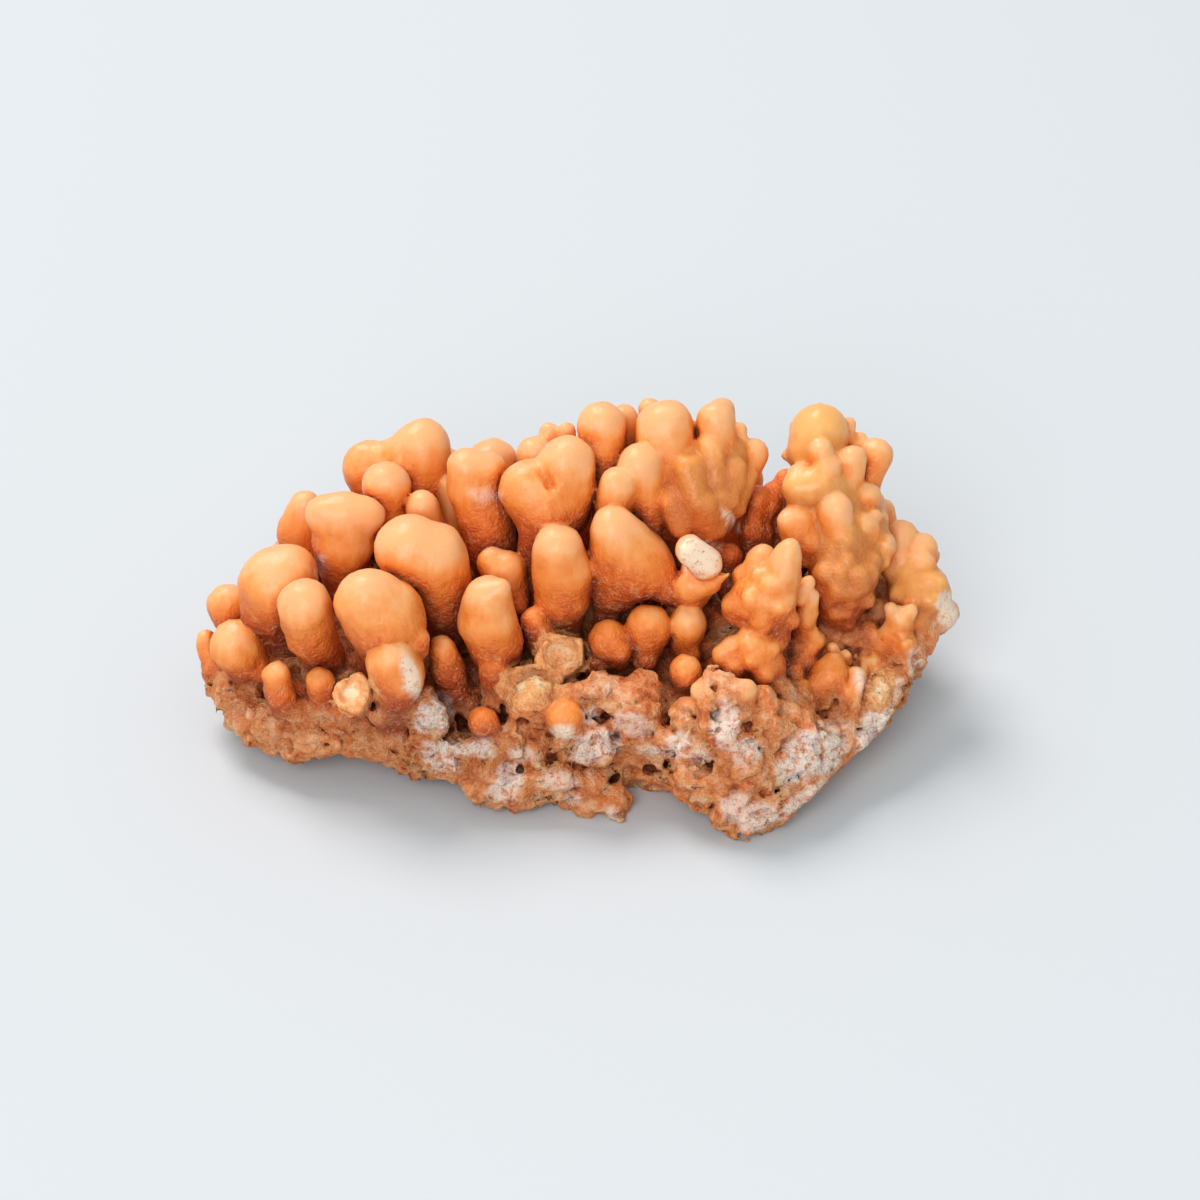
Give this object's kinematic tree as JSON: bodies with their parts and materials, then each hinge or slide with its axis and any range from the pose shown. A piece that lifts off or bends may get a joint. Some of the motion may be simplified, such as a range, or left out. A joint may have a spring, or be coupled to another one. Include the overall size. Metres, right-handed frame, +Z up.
{
  "type": "calcite specimen",
  "caption": "Natural cluster of rounded orange calcite fingers grown side by side on a thin porous crust of matrix, cut flat below so that it stands on a table.",
  "frame": {"origin": "middle of the bounding box in plan, at the flat underside that the piece rests on", "axes": "+X along the length of the crust, left to right as the front is seen; +Y from the front edge to the back; +Z up, the way the fingers grow"},
  "size_m": [0.1267, 0.07, 0.056],
  "materials": {
    "orange_calcite": "waxy, faintly translucent, peach at the tips, deep orange below, with a white powdery crust on broken edges"
  },
  "bodies": {
    "root": {"calcite_specimen": "orange_calcite"}
  },
  "joints": []
}
